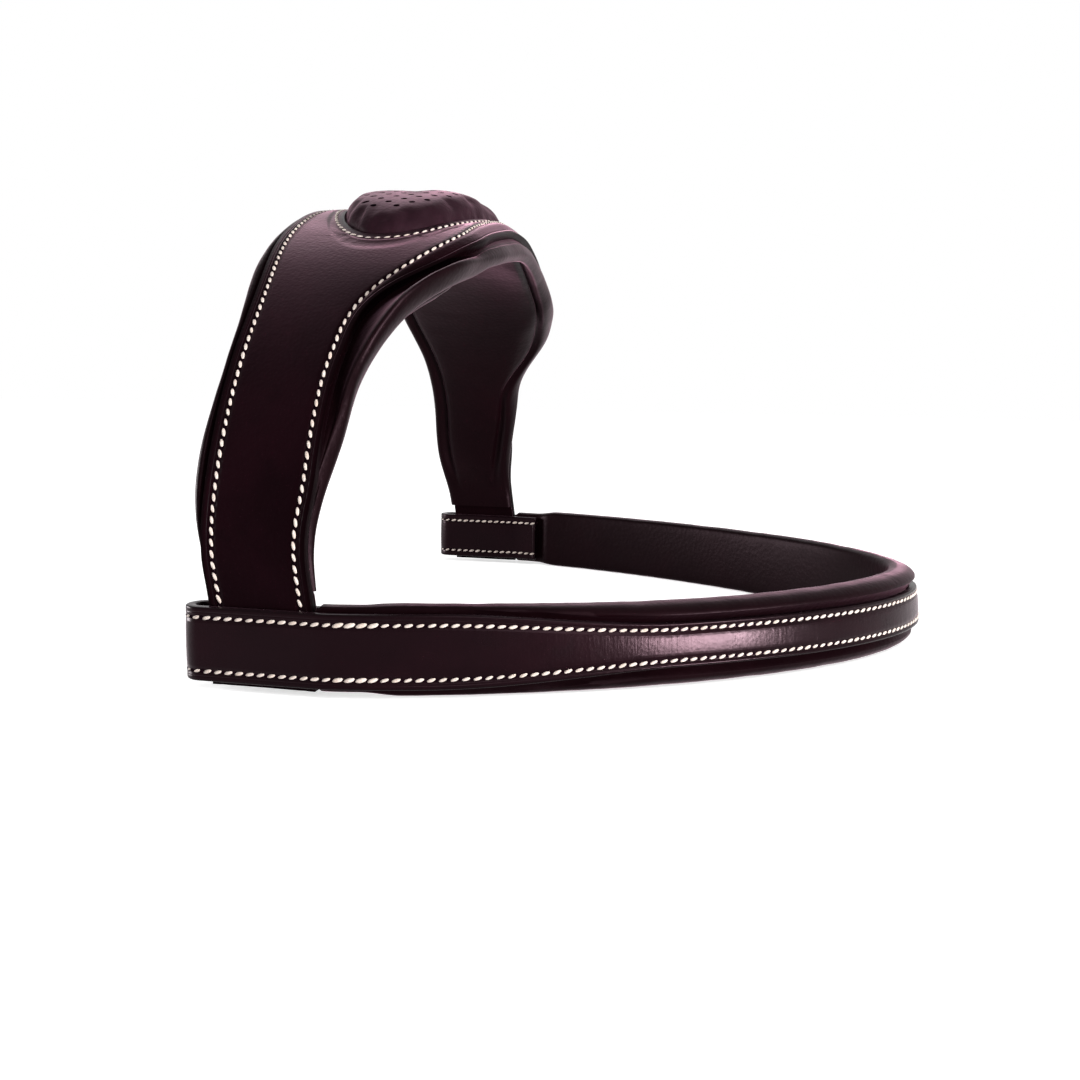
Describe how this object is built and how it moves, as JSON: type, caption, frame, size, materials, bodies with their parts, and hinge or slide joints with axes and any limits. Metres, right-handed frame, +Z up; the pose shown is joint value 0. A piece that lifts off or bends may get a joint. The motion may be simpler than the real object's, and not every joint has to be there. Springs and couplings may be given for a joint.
{
  "type": "bridle headpiece with browband",
  "caption": "Padded anatomical bridle headpiece with a gel poll cushion, its straps standing in the turned loops of a padded, stitched browband.",
  "frame": {"origin": "centre of the bounding box at the bottom, where the strap ends and the browband's lower edge stand on the table", "axes": "+X to the horse's nose, +Y to its left side, +Z up"},
  "size_m": [0.1806, 0.2158, 0.1284],
  "materials": {
    "crown_top_leather": "satin",
    "crown_backing": "matte",
    "crown_lining": "satin",
    "crown_foam": "matte",
    "poll_cushion_cover": "perforated, matte",
    "poll_cushion_core": "soft, matte",
    "browband_strap": "polished",
    "browband_raiser": "matte",
    "browband_lining": "satin",
    "browband_foam": "matte"
  },
  "bodies": {
    "browband": {"browband_strap": "browband_strap", "browband_raiser": "browband_raiser", "browband_lining": "browband_lining", "browband_foam": "browband_foam"},
    "headpiece": {"crown_top_leather": "crown_top_leather", "crown_backing": "crown_backing", "crown_lining": "crown_lining", "crown_foam": "crown_foam", "poll_cushion_cover": "poll_cushion_cover", "poll_cushion_core": "poll_cushion_core"}
  },
  "joints": [
    {"name": "headpiece_slide", "type": "slide", "parent": "browband", "child": "headpiece", "axis": [0, 0, 1], "range_m": [-0.0034, 0.015]}
  ]
}
